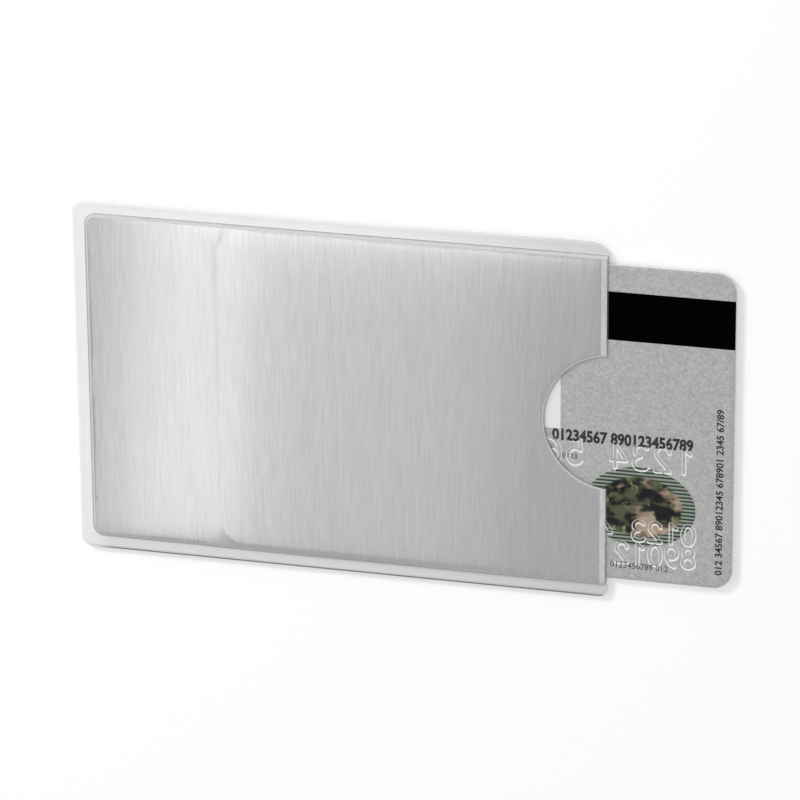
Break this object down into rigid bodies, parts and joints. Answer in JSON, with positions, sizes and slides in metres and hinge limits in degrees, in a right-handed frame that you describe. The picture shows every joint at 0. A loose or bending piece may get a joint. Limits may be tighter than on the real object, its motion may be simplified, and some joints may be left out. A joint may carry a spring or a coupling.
{
  "type": "rfid card sleeve",
  "caption": "Flat shielding sleeve of clear film and foil, welded on three sides, with a thumb notch at its mouth and a card part drawn out.",
  "frame": {"origin": "middle of the sleeve's back face, on the surface that the sleeve lies on", "axes": "+X along the sleeve to its open mouth, +Y across its face, +Z out of its front face"},
  "size_m": [0.1106, 0.061, 0.002],
  "materials": {
    "clear_film": "clear, glossy, slightly milky at the welds",
    "shield_foil": "fine brushed grain across the sleeve",
    "liner": "smooth",
    "weld": "fused, milky",
    "card_overlay": "silver with fine sparkle",
    "card_sheet": "printed silver",
    "inlay_film": "translucent white",
    "copper_track": "etched copper",
    "chip_metal": "plated",
    "chip_resin": "moulded",
    "stripe_black": "satin black",
    "panel_white": "matt white",
    "patch_foil": "iridescent foil"
  },
  "bodies": {
    "sleeve": {"front_film": "clear_film", "front_foil": "shield_foil", "front_liner": "liner", "rear_film": "clear_film", "rear_foil": "shield_foil", "rear_liner": "liner", "upper_edge_weld": "weld", "lower_edge_weld": "weld", "end_weld": "weld"},
    "card": {"card_back_overlay": "card_overlay", "card_back_sheet": "card_sheet", "antenna_film": "inlay_film", "antenna_coil": "copper_track", "antenna_bridge": "copper_track", "chip_frame": "chip_metal", "chip_cap": "chip_resin", "card_front_sheet": "card_sheet", "card_front_overlay": "card_overlay", "magnetic_stripe": "stripe_black", "signature_panel": "panel_white", "hologram_patch": "patch_foil"}
  },
  "joints": [
    {"name": "card_slide", "type": "slide", "parent": "sleeve", "child": "card", "axis": [1, 0, 0], "range_m": [-0.0223, 0.066]}
  ]
}
